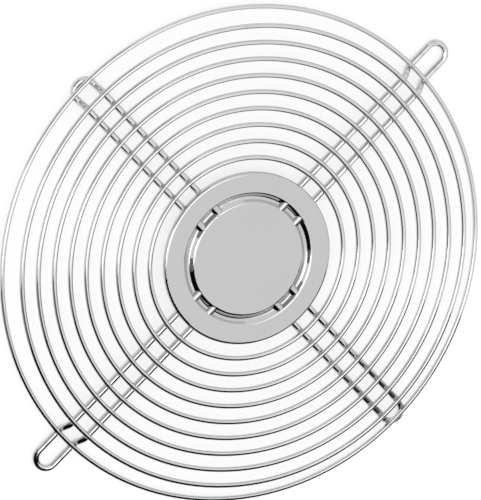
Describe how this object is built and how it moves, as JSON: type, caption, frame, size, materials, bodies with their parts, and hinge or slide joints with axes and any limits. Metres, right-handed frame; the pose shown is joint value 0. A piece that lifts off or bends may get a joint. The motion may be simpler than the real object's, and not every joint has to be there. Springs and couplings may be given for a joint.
{
  "type": "wire fan guard",
  "caption": "Round wire fan guard: concentric welded rings on hairpin supports, with mounting loops and a pressed centre plate.",
  "frame": {"origin": "point on the fan axis in the mounting plane, under the tips of the mounting loops", "axes": "+Z along the fan axis towards the front of the guard; the long mounting loops lie on the +X+Y and -X-Y diagonal"},
  "size_m": [0.2467, 0.2466, 0.0101],
  "materials": {
    "plated_wire": "bright plated",
    "plated_sheet": "bright plated"
  },
  "bodies": {
    "root": {"guard_ring_01": "plated_wire", "guard_ring_02": "plated_wire", "guard_ring_03": "plated_wire", "guard_ring_04": "plated_wire", "guard_ring_05": "plated_wire", "guard_ring_06": "plated_wire", "guard_ring_07": "plated_wire", "guard_ring_08": "plated_wire", "guard_ring_09": "plated_wire", "guard_ring_10": "plated_wire", "long_support_upper_right": "plated_wire", "short_support_upper_left": "plated_wire", "long_support_lower_left": "plated_wire", "short_support_lower_right": "plated_wire", "centre_plate": "plated_sheet"}
  },
  "joints": []
}
